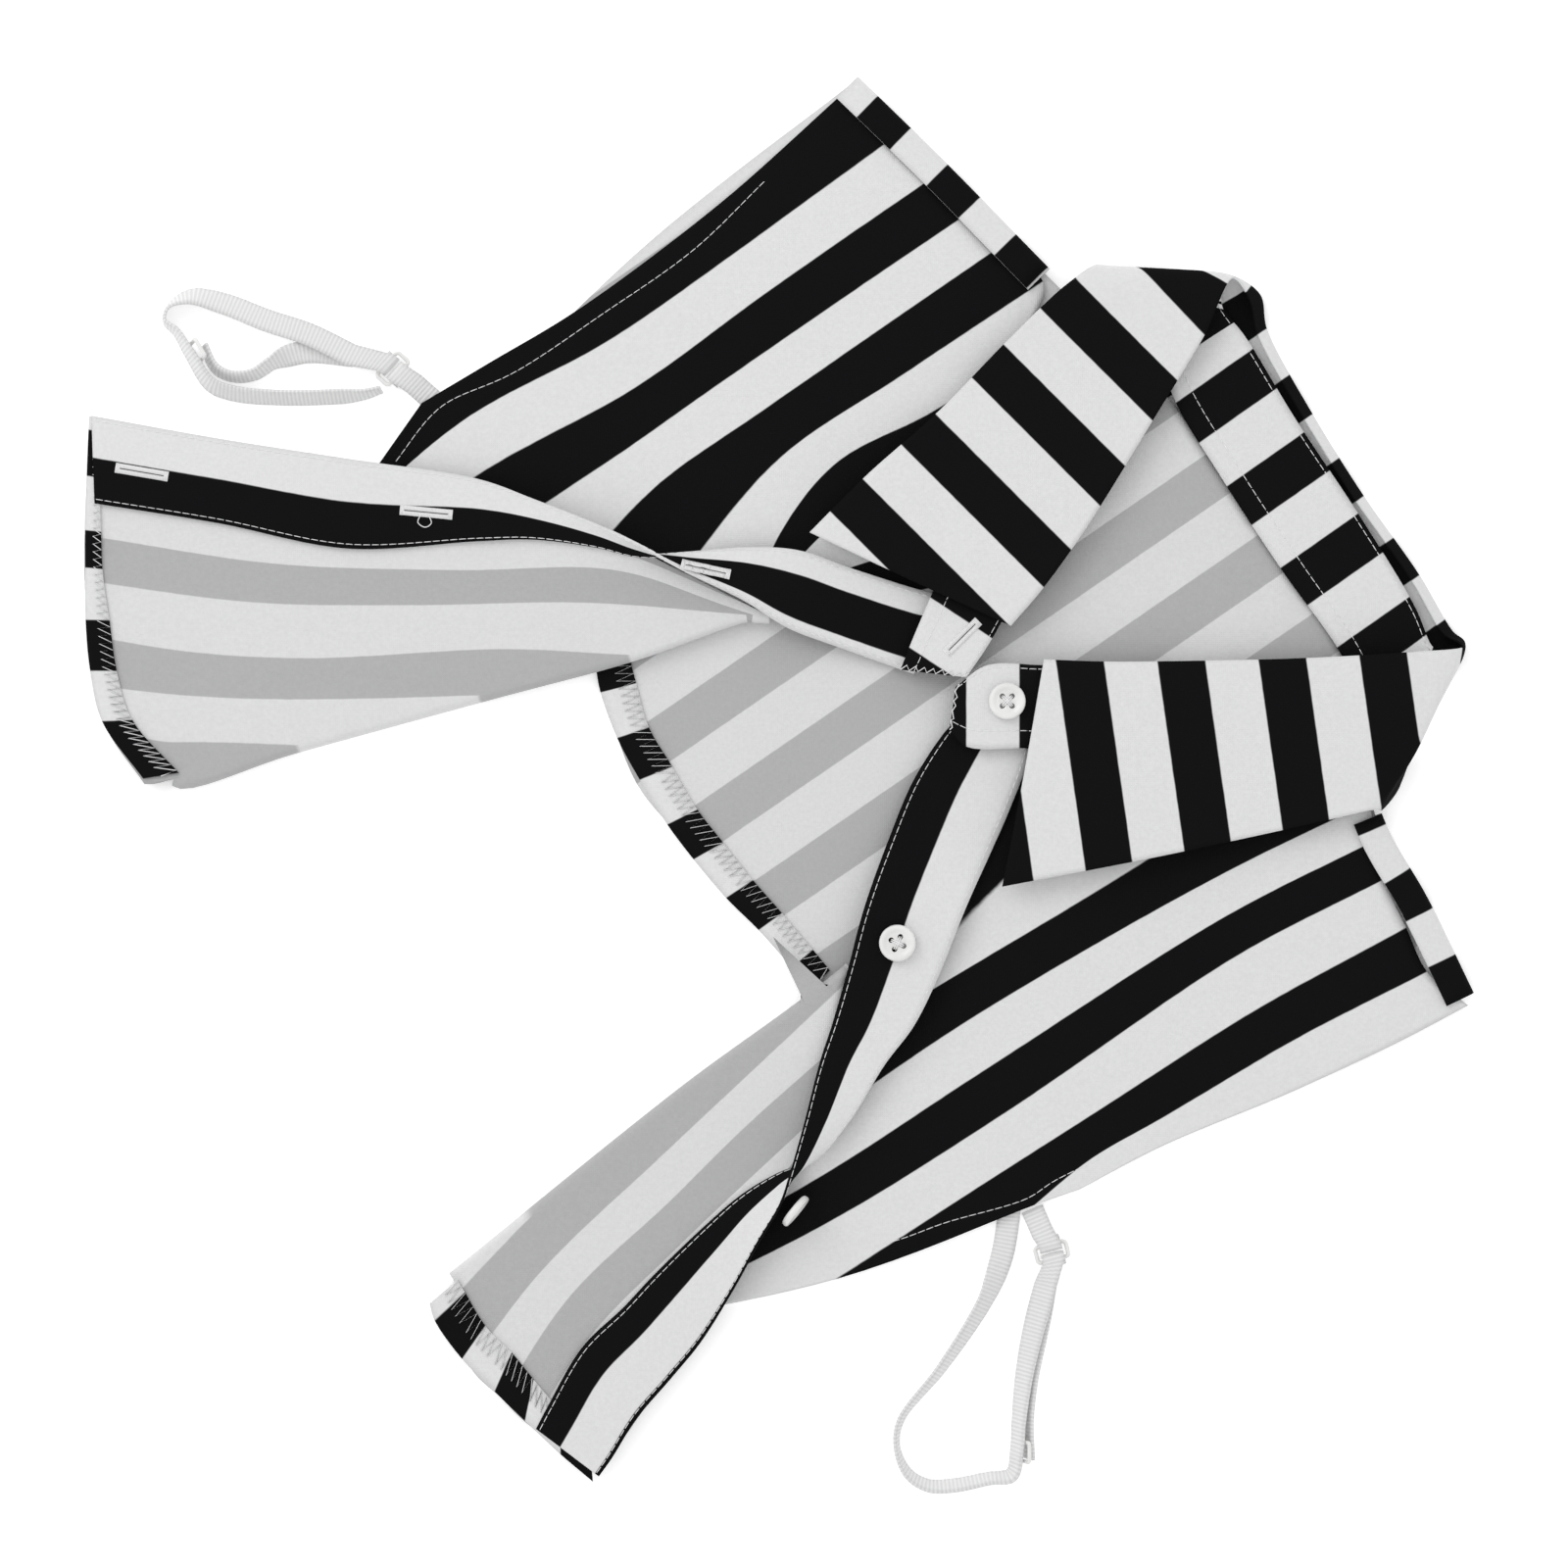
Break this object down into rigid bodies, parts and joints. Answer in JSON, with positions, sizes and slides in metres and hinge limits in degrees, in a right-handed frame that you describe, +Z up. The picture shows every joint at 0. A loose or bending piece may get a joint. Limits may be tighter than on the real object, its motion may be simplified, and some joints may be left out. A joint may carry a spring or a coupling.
{
  "type": "detachable shirt collar",
  "caption": "Striped cotton detachable shirt collar with a short bib front and back, lying unbuttoned and folded flat, with elastic arm loops.",
  "frame": {"origin": "on the table under the back panel, at the middle of the laid-out outline", "axes": "+Z up from the table; +X from the collar's left front to its neck, +Y towards the left shoulder as it lies"},
  "size_m": [0.4156, 0.4237, 0.0135],
  "materials": {
    "cotton": "plain-woven cotton, white with black stripes, the stripes grey on the wrong side",
    "elastic": "white ribbed elastic",
    "resin": "satin white resin"
  },
  "bodies": {
    "root": {"back_panel": "cotton", "buttonhole_front": "cotton", "button_front": "cotton", "buttonhole_placket": "cotton", "button_placket": "cotton", "collar_stand": "cotton", "collar_leaf": "cotton", "left_elastic": "elastic", "left_elastic_return": "elastic", "left_tab": "elastic", "right_elastic": "elastic", "right_elastic_return": "elastic", "right_tab": "elastic", "left_ring": "resin", "right_ring": "resin", "left_slider": "resin", "right_slider": "resin", "button_1_on_stand": "resin", "button_2_on_placket": "resin", "button_3_on_edge": "resin", "button_4_under_flap": "resin"}
  },
  "joints": []
}
